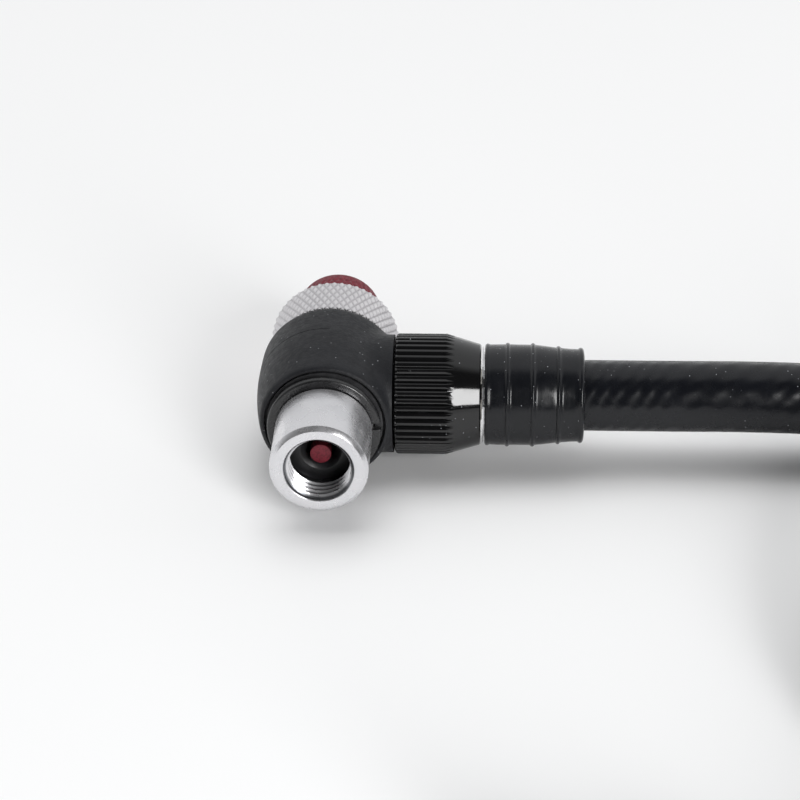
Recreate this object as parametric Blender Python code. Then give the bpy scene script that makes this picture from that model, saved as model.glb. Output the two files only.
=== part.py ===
"""Hose and right-angle valve head of a portable tyre inflator.

The head lies on its side on the surface z = 0. The hose leaves it along +X, the valve socket
opens along -Y, and the knob that drives the valve-core pin is at +Y. The origin is under the
middle of the head, its union nut and its strain relief.
"""

import math

import bmesh
import bpy
from mathutils import Vector

MM = 0.001
GAP = 0.2  # clearance between neighbouring pieces, in mm like every size below

# Head barrel, crowned about a station a little behind the hose axis.
BARREL_FRONT = -7.34
BARREL_REAR = 5.25
BARREL_CROWN = 8.42
BARREL_CROWN_AT = 0.8
BARREL_FRONT_RADIUS = 7.5
BARREL_BORE = 5.8
BARREL_SEGMENTS = 40
LIP_RADIUS = 6.95
LIP_DEPTH = 0.75
BOSS_RADIUS = 6.95
BOSS_END = 7.75
STUB_RADIUS = 4.8
STUB_END = 13.6
STUB_BORE = 2.6

# Valve sleeve, which turns in the barrel, and the grip ring pressed on its rear end.
SLEEVE_FACE = -17.4
SLEEVE_RADIUS = 5.6
SLEEVE_END = 9.5
SOCKET_MOUTH = 4.08
SOCKET_RADIUS = 3.48
SEAL_POCKET = (-13.4, -9.6, 3.95)
SLEEVE_BORE = 2.4
CLIP_GROOVE = (-8.8, -7.6, 5.0)
ORING_AT = 3.9
AIR_GROOVE = 1.5
PORT_RADIUS = 0.8
SCREW_BORE = 3.0
GRIP_RADIUS = 7.8
GRIP_REAR = 13.1

# Valve-core pin and its screw knob.
PIN_TIP = -13.8
PIN_RADIUS = 1.2
PISTON = (3.6, 6.0, 2.2)
PIN_TAIL_END = 11.6
KNOB_RADIUS = 5.1
SCREW_START = 7.9
KNOB_FRONT = 11.3
KNOB_REAR = 20.5

# Union at each end of the hose, measured from the head's axis along the hose.
NUT_MOUTH = 7.95
NUT_RADIUS = 7.1
NUT_CONE = 14.3
NUT_END = 18.05
NUT_END_RADIUS = 5.9
NUT_BORE = 5.0
FLANGE = (13.8, 15.2, 4.5)
NECK_RADIUS = 3.0
BARBS = 3
BARB_PITCH = 3.0
FERRULE = (18.1, 28.0, 5.0)
RELIEF_START = 18.4
RELIEF_END = 30.0
RELIEF_RADIUS = 5.93
RELIEF_END_RADIUS = 5.5
HOSE_RADIUS = 4.2
HOSE_START = 28.6

# Coil of the spare hose, on the right of the head and in front of the hose's line.
COIL_RADIUS = 42.5
COIL_AT = (100.0, -42.5)
TIE_THICK = 0.6
TIE_WIDTH = 8.0
TIE_TURNS = (30, 150)
COIL_FLOOR = TIE_THICK + GAP
PUMP_END = (28.0, -85.0)

# Stretches of hose that aren't coiled, about the head's axis height: level out of the strain
# relief and down to the coil, and from the top of the coil down to the pump end's union.
LEAD_ROUTE = (
    (28.6, 0.0, 0.0),
    (40.0, 0.0, 0.0),
    (51.0, 0.0, 0.0),
    (58.5, 0.0, -0.3),
    (65.5, 0.0, -1.1),
    (72.5, 0.0, -2.1),
)
TAIL_ROUTE = (
    (72.7, -85.0, 2.2),
    (68.0, -85.0, 1.0),
    (62.0, -85.0, -0.3),
    (56.0, -85.0, -1.1),
    (50.5, -85.0, -1.32),
    (48.85, -85.0, -1.32),
)

# Frame: the origin is under the middle of the head, the nut and the strain relief.
HEAD_AT = Vector(
    (
        (BARREL_CROWN - RELIEF_END) / 2,
        -(SLEEVE_FACE + KNOB_REAR) / 2,
        BARREL_CROWN,
    )
)
ALONG_Y = (0, 0, math.pi / 2)
ALONG_X = (0, 0, 0)


def clear_scene():
    for thing in list(bpy.data.objects):
        bpy.data.objects.remove(thing, do_unlink=True)


def finish(name, colour, roughness, metallic):
    material = bpy.data.materials.new(name)
    material.use_nodes = True
    shader = material.node_tree.nodes["Principled BSDF"]
    shader.inputs["Base Color"].default_value = (*colour, 1.0)
    shader.inputs["Roughness"].default_value = roughness
    shader.inputs["Metallic"].default_value = metallic
    return material


def new_object(name, mesh_maker, material, place, turn, parent):
    """One sub-part, with its origin at place (mm) inside its parent's frame."""
    mesh = bpy.data.meshes.new(name)
    bm = bmesh.new()
    mesh_maker(bm)
    bmesh.ops.recalc_face_normals(bm, faces=bm.faces)
    bm.to_mesh(mesh)
    bm.free()
    mesh.shade_smooth()
    mesh.set_sharp_from_angle(angle=math.radians(35))
    piece = bpy.data.objects.new(name, mesh)
    bpy.context.scene.collection.objects.link(piece)
    piece.location = Vector(place) * MM
    piece.rotation_euler = turn
    piece.parent = parent
    piece.data.materials.append(material)
    return piece


def empty(name, place, parent=None):
    marker = bpy.data.objects.new(name, None)
    marker.empty_display_size = 0.01
    bpy.context.scene.collection.objects.link(marker)
    marker.location = Vector(place) * MM
    marker.parent = parent
    return marker


def turned(profile, segments, angle=math.tau, start=0.0):
    """A mesh maker that spins (along, radius) points about local X. A profile that starts and
    ends on the axis is left open there, and any other is closed into a ring."""
    solid = profile[0][1] == 0 and profile[-1][1] == 0

    def make(bm):
        verts = [
            bm.verts.new((x * MM, r * MM * math.cos(start), r * MM * math.sin(start)))
            for x, r in profile
        ]
        pairs = list(zip(verts, verts[1:]))
        if not solid:
            pairs.append((verts[-1], verts[0]))
        edges = [bm.edges.new(pair) for pair in pairs]
        whole = angle == math.tau
        faces = [] if whole else [bm.faces.new(verts)]
        bmesh.ops.spin(
            bm,
            geom=verts + edges + faces,
            cent=(0, 0, 0),
            axis=(1, 0, 0),
            angle=angle,
            steps=segments,
            use_merge=whole,
        )
        bmesh.ops.remove_doubles(bm, verts=bm.verts, dist=1e-7)

    return make


def ring_section(along, radius, thickness, sides=6):
    """Closed round section of an O-ring."""
    return [
        (
            along + thickness / 2 * math.cos(math.tau * k / sides),
            radius + thickness / 2 * math.sin(math.tau * k / sides),
        )
        for k in range(sides)
    ]


def sleeve_ring(start, end, inner, outer):
    return [(start, inner), (start, outer), (end, outer), (end, inner)]


def barrel_radius(y):
    fall = BARREL_CROWN - BARREL_FRONT_RADIUS
    return BARREL_CROWN - fall * ((y - BARREL_CROWN_AT) / (BARREL_FRONT - BARREL_CROWN_AT)) ** 2


def cut(piece, cutter):
    cutter.hide_render = True
    cutter.display_type = "WIRE"
    step = piece.modifiers.new(cutter.name, "BOOLEAN")
    step.operation = "DIFFERENCE"
    step.solver = "EXACT"
    step.object = cutter


def join(piece, other):
    other.hide_render = True
    other.display_type = "WIRE"
    step = piece.modifiers.new(other.name, "BOOLEAN")
    step.operation = "UNION"
    step.solver = "EXACT"
    step.object = other


def head_body(parent, black):
    """Barrel with a side boss and an externally threaded stub for the union nut."""
    edge = 0.35
    stations = [BARREL_FRONT + edge, -4.5, -2.0, BARREL_CROWN_AT, 3.2, BARREL_REAR - edge]
    outline = [(BARREL_FRONT, 0), (BARREL_FRONT, BARREL_FRONT_RADIUS - edge)]
    outline += [(y, barrel_radius(y)) for y in stations]
    rear_edge = barrel_radius(BARREL_REAR) - edge
    outline += [(BARREL_REAR, rear_edge), (BARREL_REAR + 0.6, rear_edge - edge), (BARREL_REAR + 0.6, 0)]
    body = new_object(
        "head_body", turned(outline, BARREL_SEGMENTS), black, (0, 0, 0), ALONG_Y, parent
    )
    boss_outline = [(1.0, 0), (1.0, BOSS_RADIUS), (STUB_END, BOSS_RADIUS), (STUB_END, 0)]
    boss = new_object("boss_tool", turned(boss_outline, 32), black, (0, 0, 0), ALONG_X, parent)
    join(body, boss)
    around_stub = [
        (BOSS_END, STUB_RADIUS),
        (BOSS_END, 2 * BARREL_CROWN),
        (STUB_END + 1, 2 * BARREL_CROWN),
        (STUB_END + 1, STUB_RADIUS - 1.4),
        (STUB_END - 0.4, STUB_RADIUS),
    ]
    facing = new_object("stub_tool", turned(around_stub, 32), black, (0, 0, 0), ALONG_X, parent)
    cut(body, facing)
    bore_outline = [
        (BARREL_FRONT - 1, 0),
        (BARREL_FRONT - 1, LIP_RADIUS),
        (BARREL_FRONT + LIP_DEPTH, LIP_RADIUS),
        (BARREL_FRONT + LIP_DEPTH, BARREL_BORE),
        (BARREL_REAR - LIP_DEPTH, BARREL_BORE),
        (BARREL_REAR - LIP_DEPTH, LIP_RADIUS),
        (BARREL_REAR, LIP_RADIUS),
        (BARREL_REAR, 2 * BARREL_CROWN),
        (BARREL_REAR + 3, 2 * BARREL_CROWN),
        (BARREL_REAR + 3, 0),
    ]
    bore = new_object("bore_tool", turned(bore_outline, 32), black, (0, 0, 0), ALONG_Y, parent)
    cut(body, bore)
    side_outline = [(3.0, 0), (3.0, STUB_BORE), (STUB_END + 1, STUB_BORE), (STUB_END + 1, 0)]
    side = new_object("air_way_tool", turned(side_outline, 20), black, (0, 0, 0), ALONG_X, parent)
    cut(body, side)
    return body


def washers(parent, nylon):
    """Thrust washers in the lips at both ends of the barrel."""
    front = BARREL_FRONT + LIP_DEPTH
    rear = BARREL_REAR - LIP_DEPTH
    for name, start in (("front_thrust_washer", front - 0.55), ("rear_thrust_washer", rear + 0.2)):
        outline = sleeve_ring(start, start + 0.35, SLEEVE_RADIUS + GAP, LIP_RADIUS - GAP)
        new_object(name, turned(outline, 28), nylon, (0, 0, 0), ALONG_Y, parent)


def valve_sleeve(parent, silver):
    """Turned tube: threaded socket, seal pocket, air groove with ports, and pin-screw thread."""
    groove_floor = SLEEVE_RADIUS - 1.0
    outer = [
        (SLEEVE_FACE, SOCKET_MOUTH),
        (SLEEVE_FACE, SLEEVE_RADIUS - 0.5),
        (SLEEVE_FACE + 0.5, SLEEVE_RADIUS),
        (CLIP_GROOVE[0], SLEEVE_RADIUS),
        (CLIP_GROOVE[0], CLIP_GROOVE[2]),
        (CLIP_GROOVE[1], CLIP_GROOVE[2]),
        (CLIP_GROOVE[1], SLEEVE_RADIUS),
    ]
    for centre, half in ((-ORING_AT, 0.7), (0.0, AIR_GROOVE), (ORING_AT, 0.7)):
        outer += [
            (centre - half, SLEEVE_RADIUS),
            (centre - half, groove_floor),
            (centre + half, groove_floor),
            (centre + half, SLEEVE_RADIUS),
        ]
    inner = [
        (SLEEVE_END, SLEEVE_RADIUS),
        (SLEEVE_END, SCREW_BORE),
        (PISTON[1] + GAP, SCREW_BORE),
        (PISTON[1] + GAP, SLEEVE_BORE),
        (SEAL_POCKET[1], SLEEVE_BORE),
        (SEAL_POCKET[1], SEAL_POCKET[2]),
        (SEAL_POCKET[0], SEAL_POCKET[2]),
        (SEAL_POCKET[0], SOCKET_RADIUS),
        (SLEEVE_FACE + 0.5, SOCKET_RADIUS),
    ]
    sleeve = new_object(
        "valve_sleeve", turned(outer + inner, 32), silver, (0, 0, 0), ALONG_Y, parent
    )
    port = [(-8, 0), (-8, PORT_RADIUS), (8, PORT_RADIUS), (8, 0)]
    for name, turn in (("port_tool_a", ALONG_X), ("port_tool_b", (0, math.pi / 2, 0))):
        cut(sleeve, new_object(name, turned(port, 8), silver, (0, 0, 0), turn, parent))
    return sleeve


def knurled_grip(parent, silver):
    """Grip ring pressed on the sleeve. Its rear counterbore takes the front of the knob."""
    outline = [
        (BARREL_REAR + GAP, SLEEVE_RADIUS + GAP),
        (BARREL_REAR + GAP, GRIP_RADIUS),
        (GRIP_REAR - 0.4, GRIP_RADIUS),
        (GRIP_REAR, GRIP_RADIUS - 0.4),
        (GRIP_REAR, KNOB_RADIUS + 0.3),
        (SLEEVE_END + GAP, KNOB_RADIUS + 0.3),
        (SLEEVE_END + GAP, SLEEVE_RADIUS + GAP),
    ]
    return new_object("knurled_grip", turned(outline, 36), silver, (0, 0, 0), ALONG_Y, parent)


def front_circlip(parent, steel):
    """Open ring in the sleeve's groove, with its gap on the hose side."""
    outline = sleeve_ring(CLIP_GROOVE[0] + GAP, CLIP_GROOVE[1] - GAP, CLIP_GROOVE[2] + GAP, 6.6)
    gap_angle = math.radians(8)
    maker = turned(outline, 28, math.tau - gap_angle, math.pi + gap_angle / 2)
    return new_object("front_circlip", maker, steel, (0, 0, 0), ALONG_Y, parent)


def sleeve_seals(parent, rubber, nylon):
    """Two O-rings beside the air groove, and the valve seal on its backing washer."""
    for name, at in (("front_oring", -ORING_AT), ("rear_oring", ORING_AT)):
        section = ring_section(at, SLEEVE_RADIUS - 0.4, 0.85)
        new_object(name, turned(section, 24), rubber, (0, 0, 0), ALONG_Y, parent)
    front, back, radius = SEAL_POCKET
    washer_start = back - 0.15 - 0.6
    seal = [
        (front + 0.15, 2.3),
        (front + 0.15, radius - 0.15),
        (washer_start - 0.15, radius - 0.15),
        (washer_start - 0.15, 1.6),
        (front + 1.1, 1.6),
    ]
    new_object("valve_seal", turned(seal, 28), rubber, (0, 0, 0), ALONG_Y, parent)
    washer = sleeve_ring(washer_start, back - 0.15, 1.6, radius - 0.15)
    new_object("seal_backing_washer", turned(washer, 24), nylon, (0, 0, 0), ALONG_Y, parent)


def depressor_pin(parent, red, rubber, steel):
    """Pin with a sealed piston. Its tail passes through the knob and carries a clip."""
    start, end, radius = PISTON
    groove = (start + end) / 2
    outline = [
        (PIN_TIP, 0),
        (PIN_TIP, PIN_RADIUS),
        (-9.0, PIN_RADIUS),
        (-8.6, PIN_RADIUS - 0.2),
        (start, PIN_RADIUS - 0.2),
        (start, radius),
        (groove - 0.55, radius),
        (groove - 0.55, radius - 0.8),
        (groove + 0.55, radius - 0.8),
        (groove + 0.55, radius),
        (end, radius),
        (end, 1.0),
        (10.6, 1.0),
        (10.6, 0.7),
        (11.2, 0.7),
        (11.2, 1.0),
        (PIN_TAIL_END, 1.0),
        (PIN_TAIL_END, 0),
    ]
    new_object("depressor_pin", turned(outline, 20), red, (0, 0, 0), ALONG_Y, parent)
    section = ring_section(groove, radius - 0.3, 0.7)
    new_object("pin_oring", turned(section, 20), rubber, (0, 0, 0), ALONG_Y, parent)
    clip = sleeve_ring(10.7, 11.1, 0.85, 1.9)
    maker = turned(clip, 18, math.radians(300), math.radians(30))
    new_object("pin_clip", maker, steel, (0, 0, 0), ALONG_Y, parent)


def depressor_knob(parent, red):
    """Knob with a hollow screw that runs in the sleeve, closed by a pressed cap."""
    outline = [
        (PISTON[1] + GAP, 1.2),
        (PISTON[1] + GAP, PISTON[2] - 0.05),
        (SCREW_START, PISTON[2] - 0.05),
        (SCREW_START, SCREW_BORE - 0.15),
        (KNOB_FRONT, SCREW_BORE - 0.15),
        (KNOB_FRONT, KNOB_RADIUS - 0.3),
        (KNOB_FRONT + 0.3, KNOB_RADIUS),
        (KNOB_REAR - 0.8, KNOB_RADIUS),
        (KNOB_REAR - 0.2, KNOB_RADIUS - 0.3),
        (KNOB_REAR, KNOB_RADIUS - 0.9),
        (KNOB_REAR, 2.9),
        (KNOB_REAR - 1.2, 2.9),
        (KNOB_REAR - 1.2, 2.3),
        (10.4, 2.3),
        (10.4, 1.2),
    ]
    new_object("depressor_knob", turned(outline, 32), red, (0, 0, 0), ALONG_Y, parent)
    cap = [(KNOB_REAR - 1.0, 0), (KNOB_REAR - 1.0, 2.7), (KNOB_REAR - 0.1, 2.7), (KNOB_REAR - 0.1, 0)]
    new_object("knob_cap", turned(cap, 24), red, (0, 0, 0), ALONG_Y, parent)


def union_nut(name, place, parent, gloss):
    """Nut that draws the insert's flange on to the stub. Its back is a smooth cone."""
    outline = [
        (NUT_MOUTH, NUT_BORE),
        (NUT_MOUTH, NUT_RADIUS - 0.25),
        (NUT_MOUTH + 0.25, NUT_RADIUS),
        (NUT_CONE, NUT_RADIUS),
        (NUT_END - 0.1, NUT_END_RADIUS),
        (NUT_END - 0.1, NECK_RADIUS + 0.3),
        (FLANGE[1] + GAP, NECK_RADIUS + 0.3),
        (FLANGE[1] + GAP, NUT_BORE),
    ]
    return new_object(name, turned(outline, 36), gloss, place, ALONG_X, parent)


def hose_insert(name, place, parent, nickel):
    """Turned insert: nose with an O-ring groove, clamping flange, neck and barbed tail."""
    flange_start, flange_end, flange_radius = FLANGE
    nose = [
        (9.6, 1.3),
        (9.6, 2.0),
        (9.9, 2.3),
        (11.2, 2.3),
        (11.2, 1.6),
        (12.3, 1.6),
        (12.3, 2.3),
        (flange_start, 2.3),
        (flange_start, flange_radius),
        (flange_end, flange_radius),
        (flange_end, NECK_RADIUS),
        (18.6, NECK_RADIUS),
    ]
    tail = []
    for barb in range(BARBS):
        root = 18.6 + barb * BARB_PITCH
        tail += [(root, 1.75), (root + BARB_PITCH - 0.1, 2.0)]
    tail += [(27.9, 1.7), (27.9, 1.3)]
    return new_object(name, turned(nose + tail, 20), nickel, place, ALONG_X, parent)


def insert_oring(name, place, parent, rubber):
    section = ring_section(11.75, 2.1, 0.75)
    return new_object(name, turned(section, 20), rubber, place, ALONG_X, parent)


def ferrule(name, place, parent, bright):
    """Crimped sleeve whose front flange shows as a bright line between nut and relief."""
    start, end, radius = FERRULE
    outline = [
        (start, NECK_RADIUS + GAP),
        (start, RELIEF_RADIUS - 0.28),
        (start + 0.15, RELIEF_RADIUS - 0.28),
        (start + 0.15, radius),
        (end, radius),
        (end, HOSE_RADIUS + 0.25),
        (start + 0.6, HOSE_RADIUS + 0.25),
        (start + 0.6, NECK_RADIUS + GAP),
    ]
    return new_object(name, turned(outline, 28), bright, place, ALONG_X, parent)


def clamped_hose(name, place, parent, rubber):
    """The length of hose wall that the ferrule grips on the insert's barbs."""
    outline = sleeve_ring(FERRULE[0] + 0.85, HOSE_START - 0.3, 2.2, HOSE_RADIUS)
    return new_object(name, turned(outline, 24), rubber, place, ALONG_X, parent)


def strain_relief(name, place, parent, rubber):
    """Tapered rubber sleeve over the ferrule and the first of the free hose."""
    inner = FERRULE[2] + 0.15
    outline = [
        (RELIEF_START, inner),
        (RELIEF_START, RELIEF_RADIUS - 0.2),
        (RELIEF_START + 0.2, RELIEF_RADIUS),
        (RELIEF_START + 5.5, RELIEF_RADIUS),
        (RELIEF_END - 0.3, RELIEF_END_RADIUS),
        (RELIEF_END, RELIEF_END_RADIUS - 0.3),
        (RELIEF_END, HOSE_RADIUS + 0.12),
        (FERRULE[1] + GAP, HOSE_RADIUS + 0.12),
        (FERRULE[1] + GAP, inner),
    ]
    return new_object(name, turned(outline, 32), rubber, place, ALONG_X, parent)


def smooth_points(route, count):
    """Points on a smooth curve through the route's own points (Catmull-Rom), evenly per span."""
    points = [Vector(p) for p in route]
    points = [2 * points[0] - points[1], *points, 2 * points[-1] - points[-2]]
    spans = len(points) - 3
    out = []
    for k in range(count + 1):
        place = min(spans * k / count, spans - 1e-9)
        i = int(place)
        t = place - i
        a, b, c, d = points[i : i + 4]
        out.append(
            0.5
            * (
                2 * b
                + (c - a) * t
                + (2 * a - 5 * b + 4 * c - d) * t * t
                + (3 * b - a - 3 * c + d) * t**3
            )
        )
    return out


def hose_tube(name, route, count, parent, rubber):
    curve = bpy.data.curves.new(name, "CURVE")
    curve.dimensions = "3D"
    curve.bevel_depth = HOSE_RADIUS * MM
    curve.bevel_resolution = 3
    curve.use_fill_caps = True
    points = smooth_points(route, count)
    spline = curve.splines.new("POLY")
    spline.points.add(len(points) - 1)
    for spot, point in zip(spline.points, points):
        spot.co = (*(point * MM), 1.0)
    tube = bpy.data.objects.new(name, curve)
    bpy.context.scene.collection.objects.link(tube)
    tube.parent = parent
    tube.data.materials.append(rubber)
    return tube


def hose_coil(parent, rubber):
    """Outer shape of one and a half turns of hose that lie on each other."""
    low = COIL_FLOOR - BARREL_CROWN
    high = low + 4 * HOSE_RADIUS
    inner = COIL_RADIUS - HOSE_RADIUS
    outer = COIL_RADIUS + HOSE_RADIUS
    soft = 1.6
    outline = [
        (low, inner + soft),
        (low, outer - soft),
        (low + soft, outer),
        (high - soft, outer),
        (high, outer - soft),
        (high, inner + soft),
        (high - soft, inner),
        (low + soft, inner),
    ]
    place = (*COIL_AT, 0)
    upright = (0, -math.pi / 2, 0)
    return new_object("hose_coil", turned(outline, 48), rubber, place, upright, parent)


def coil_tie(name, degrees, parent, rubber):
    """Flat rubber loop round both turns. It lies on the surface under the coil."""
    half_wide = HOSE_RADIUS + 0.35
    low = TIE_THICK
    high = COIL_FLOOR + 4 * HOSE_RADIUS + GAP
    corner = 1.4

    def loop(grow):
        corners = [
            (half_wide - corner, high - corner, 0),
            (-half_wide + corner, high - corner, 1),
            (-half_wide + corner, low + corner, 2),
            (half_wide - corner, low + corner, 3),
        ]
        return [
            (
                x + (corner + grow) * math.cos((quarter + step / 3) * math.pi / 2),
                z + (corner + grow) * math.sin((quarter + step / 3) * math.pi / 2),
            )
            for x, z, quarter in corners
            for step in range(4)
        ]

    def make(bm):
        rows = []
        for y in (-TIE_WIDTH / 2, TIE_WIDTH / 2):
            for grow in (0, TIE_THICK):
                rows.append(
                    [bm.verts.new((x * MM, y * MM, (z - BARREL_CROWN) * MM)) for x, z in loop(grow)]
                )
        inner_front, outer_front, inner_back, outer_back = rows
        walls = (
            (inner_front, outer_front),
            (outer_front, outer_back),
            (outer_back, inner_back),
            (inner_back, inner_front),
        )
        for one, two in walls:
            for k in range(len(one)):
                after = (k + 1) % len(one)
                bm.faces.new((one[k], one[after], two[after], two[k]))

    angle = math.radians(90 - degrees)
    place = (
        COIL_AT[0] + COIL_RADIUS * math.cos(angle),
        COIL_AT[1] + COIL_RADIUS * math.sin(angle),
        0,
    )
    return new_object(name, make, rubber, place, (0, 0, angle), parent)


def hose_end(prefix, place, parent, looks):
    """Everything that is clamped on one end of the hose, apart from the nut."""
    nickel, rubber, bright, relief_rubber = looks
    hose_insert(prefix + "insert", place, parent, nickel)
    insert_oring(prefix + "insert_oring", place, parent, rubber)
    ferrule(prefix + "ferrule", place, parent, bright)
    clamped_hose(prefix + "clamped_end", place, parent, rubber)
    strain_relief(prefix + "strain_relief", place, parent, relief_rubber)


def build():
    clear_scene()
    satin_black = finish("satin_black", (0.045, 0.047, 0.052), 0.55, 0.0)
    gloss_black = finish("gloss_black", (0.012, 0.012, 0.013), 0.15, 0.0)
    silver = finish("silver", (0.60, 0.59, 0.61), 0.32, 1.0)
    red = finish("red_anodised", (0.27, 0.02, 0.035), 0.4, 0.6)
    rubber = finish("black_rubber", (0.02, 0.02, 0.024), 0.5, 0.0)
    nickel = finish("nickel", (0.62, 0.60, 0.55), 0.25, 1.0)
    steel = finish("black_steel", (0.03, 0.03, 0.03), 0.35, 0.7)
    nylon = finish("nylon", (0.05, 0.05, 0.05), 0.5, 0.0)

    head = empty("head", HEAD_AT)
    sleeve_axis = empty("sleeve_axis", (0, 0, 0), head)
    pin_axis = empty("pin_axis", (0, 0, 0), sleeve_axis)
    knob_axis = empty("knob_axis", (0, 0, 0), pin_axis)
    hose_axis = empty("hose_axis", (0, 0, 0), head)
    nut_axis = empty("nut_axis", (0, 0, 0), hose_axis)
    pump_nut_axis = empty("pump_nut_axis", (0, 0, 0), hose_axis)

    head_body(head, satin_black)
    washers(head, nylon)
    valve_sleeve(sleeve_axis, silver)
    knurled_grip(sleeve_axis, silver)
    front_circlip(sleeve_axis, steel)
    sleeve_seals(sleeve_axis, rubber, nylon)
    depressor_pin(pin_axis, red, rubber, steel)
    depressor_knob(knob_axis, red)
    union_nut("union_nut", (0, 0, 0), nut_axis, gloss_black)

    looks = (nickel, rubber, silver, rubber)
    hose_end("hose_", (0, 0, 0), hose_axis, looks)
    pump_place = (PUMP_END[0] - NUT_MOUTH, PUMP_END[1], NUT_RADIUS - BARREL_CROWN)
    hose_end("pump_", pump_place, hose_axis, looks)
    union_nut("pump_nut", pump_place, pump_nut_axis, gloss_black)
    hose_tube("air_hose_lead", LEAD_ROUTE, 10, hose_axis, rubber)
    hose_tube("air_hose_tail", TAIL_ROUTE, 6, hose_axis, rubber)
    hose_coil(hose_axis, rubber)
    for name, degrees in zip(("coil_tie_a", "coil_tie_b"), TIE_TURNS):
        coil_tie(name, degrees, hose_axis, rubber)


build()
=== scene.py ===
"""Looks of a tyre inflator's air hose and right-angle valve head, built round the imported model.

The head lies on its side with the valve socket towards the front, and the spare hose lies coiled
on its right. Sizes are in millimetres from the middle of the head unless a name says otherwise.
"""

import math

import bpy
from mathutils import Matrix, Vector
from mathutils.geometry import interpolate_bezier


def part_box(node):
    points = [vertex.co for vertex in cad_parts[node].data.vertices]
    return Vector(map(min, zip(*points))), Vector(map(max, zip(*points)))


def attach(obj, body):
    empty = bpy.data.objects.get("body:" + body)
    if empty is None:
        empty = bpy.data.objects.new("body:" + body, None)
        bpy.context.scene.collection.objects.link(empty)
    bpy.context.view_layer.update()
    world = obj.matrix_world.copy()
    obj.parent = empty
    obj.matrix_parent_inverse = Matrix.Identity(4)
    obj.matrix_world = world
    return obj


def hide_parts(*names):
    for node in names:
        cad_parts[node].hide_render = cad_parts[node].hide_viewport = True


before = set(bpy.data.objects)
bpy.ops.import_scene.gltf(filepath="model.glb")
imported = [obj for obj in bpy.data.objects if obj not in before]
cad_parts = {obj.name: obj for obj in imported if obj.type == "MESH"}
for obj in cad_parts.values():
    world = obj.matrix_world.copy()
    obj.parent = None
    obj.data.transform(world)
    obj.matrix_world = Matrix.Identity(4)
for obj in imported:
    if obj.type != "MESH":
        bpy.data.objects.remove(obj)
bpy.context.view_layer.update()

# ---- Where the head is -------------------------------------------------------------------------
# The valve sleeve gives the chuck's axis and the union nut the hose's. The two axes cross in the
# middle of the barrel, and every size of the head and its union is taken from that point.
MM = 0.001
sleeve_low, sleeve_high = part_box("valve_sleeve")
nut_low, nut_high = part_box("union_nut")
middle = Vector(
    (
        (sleeve_low.x + sleeve_high.x) / 2,
        (nut_low.y + nut_high.y) / 2,
        (nut_low.z + nut_high.z) / 2,
    )
)

# ---- Camera ------------------------------------------------------------------------------------
# A long lens a good way above the part, nearly square to the hose and turned a little to its right.
CAMERA_TURN = math.radians(2.75)
CAMERA_RISE = math.radians(30.32)
CAMERA_ROLL = math.radians(-0.75)
CAMERA_AWAY = 283.3
LOOKS_PAST = (8.4, -0.87)
back = Vector(
    (
        math.sin(CAMERA_TURN) * math.cos(CAMERA_RISE),
        -math.cos(CAMERA_TURN) * math.cos(CAMERA_RISE),
        math.sin(CAMERA_RISE),
    )
)
across = Vector((0, 0, 1)).cross(back).normalized()
across.rotate(Matrix.Rotation(CAMERA_ROLL, 3, back))
upward = back.cross(across)
eye = middle + MM * (LOOKS_PAST[0] * across + LOOKS_PAST[1] * upward + CAMERA_AWAY * back)
facing = Matrix((across, upward, back)).transposed()
bpy.ops.object.camera_add(location=eye, rotation=facing.to_euler())
camera = bpy.context.active_object
camera.data.sensor_width = 36
camera.data.lens = 108
camera.data.clip_start = 0.01
bpy.context.scene.camera = camera

# ---- Floor and light ---------------------------------------------------------------------------
# A pale sweep in a bright room that is darker behind the camera, with a soft box in front on the
# right and a broad one overhead.
bpy.context.scene.view_settings.view_transform = "Standard"
bpy.ops.object.select_all(action="DESELECT")
bpy.ops.mesh.primitive_plane_add(size=6, location=(0, 0, 0))
floor = bpy.context.active_object
floor.name = "floor"
floor_paint = bpy.data.materials.new("floor_paint")
floor_paint.use_nodes = True
floor_shader = floor_paint.node_tree.nodes["Principled BSDF"]
floor_shader.inputs["Base Color"].default_value = (0.95, 0.95, 0.95, 1)
floor_shader.inputs["Roughness"].default_value = 1.0
floor_shader.inputs["Specular IOR Level"].default_value = 0.0
floor.data.materials.append(floor_paint)

sky = bpy.data.worlds.new("sky")
bpy.context.scene.world = sky
sky.use_nodes = True
sky_nodes = sky.node_tree.nodes
sky_links = sky.node_tree.links
sky_spot = sky_nodes.new("ShaderNodeTexCoord")
sky_way = sky_nodes.new("ShaderNodeVectorMath")
sky_way.operation = "DOT_PRODUCT"
sky_way.inputs[1].default_value = (0.05, -0.97, 0.22)
sky_links.new(sky_spot.outputs["Generated"], sky_way.inputs[0])
sky_range = sky_nodes.new("ShaderNodeMapRange")
sky_range.interpolation_type = "SMOOTHSTEP"
sky_range.inputs["From Min"].default_value = 0.08
sky_range.inputs["From Max"].default_value = 0.42
sky_range.inputs["To Min"].default_value = 0.75
sky_range.inputs["To Max"].default_value = 0.03
sky_links.new(sky_way.outputs["Value"], sky_range.inputs["Value"])
sky_nodes["Background"].inputs["Color"].default_value = (0.98, 0.99, 1.0, 1)
sky_links.new(sky_range.outputs["Result"], sky_nodes["Background"].inputs["Strength"])


def soft_box(name, aim, distance, width, height, power):
    """A rectangular light that faces the middle of the head."""
    aim = Vector(aim).normalized()
    turn = aim.to_track_quat("Z", "Y").to_euler()
    bpy.ops.object.light_add(type="AREA", location=middle + distance * aim, rotation=turn)
    lamp = bpy.context.active_object
    lamp.name = name
    lamp.data.shape = "RECTANGLE"
    lamp.data.size = width
    lamp.data.size_y = height
    lamp.data.energy = power
    return lamp


soft_box("front_box", (0.51, -0.79, 0.34), 0.9, 0.24, 0.48, 5.2)
soft_box("top_box", (-0.1, 0.15, 1.0), 1.1, 1.1, 0.9, 6.0).visible_glossy = False

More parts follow.
